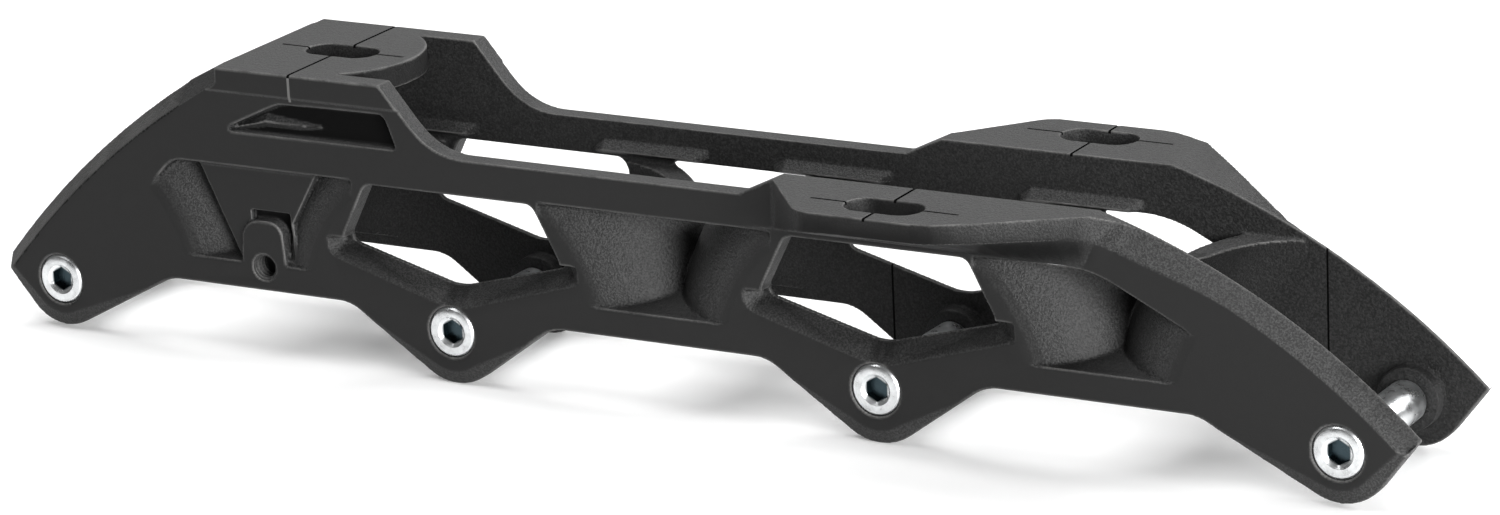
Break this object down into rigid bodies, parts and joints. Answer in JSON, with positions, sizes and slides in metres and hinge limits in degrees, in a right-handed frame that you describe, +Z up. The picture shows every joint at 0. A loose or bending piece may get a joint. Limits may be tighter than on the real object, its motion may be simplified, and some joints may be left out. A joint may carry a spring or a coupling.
{
  "type": "inline skate frame",
  "caption": "Black die-cast inline skate frame with arched arms, windowed side walls, pinched webs between wheel bays, slotted boot mounts and screw-in axles.",
  "frame": {"origin": "middle of the box's underside, on the floor below the axle lobes", "axes": "+X to the front, +Y to the left, towards the axle threads, +Z up"},
  "size_m": [0.304, 0.0704, 0.0582],
  "materials": {
    "black_casting": "satin black coat, grainy where the cast skin is left",
    "axle_steel": "zinc plated"
  },
  "bodies": {
    "frame": {"head_side_wall": "black_casting", "thread_side_wall": "black_casting", "rear_deck": "black_casting", "head_side_pad": "black_casting", "thread_side_pad": "black_casting", "rear_web": "black_casting", "middle_web": "black_casting", "front_web": "black_casting"},
    "axle_1": {"axle_1": "axle_steel"},
    "axle_2": {"axle_2": "axle_steel"},
    "axle_3": {"axle_3": "axle_steel"},
    "axle_4": {"axle_4": "axle_steel"}
  },
  "joints": [
    {"name": "axle_1_pull", "type": "slide", "parent": "frame", "child": "axle_1", "axis": [0, -1, 0], "range_m": [0, 0.045]},
    {"name": "axle_2_pull", "type": "slide", "parent": "frame", "child": "axle_2", "axis": [0, -1, 0], "range_m": [0, 0.045]},
    {"name": "axle_3_pull", "type": "slide", "parent": "frame", "child": "axle_3", "axis": [0, -1, 0], "range_m": [0, 0.045]},
    {"name": "axle_4_pull", "type": "slide", "parent": "frame", "child": "axle_4", "axis": [0, -1, 0], "range_m": [0, 0.045]}
  ]
}
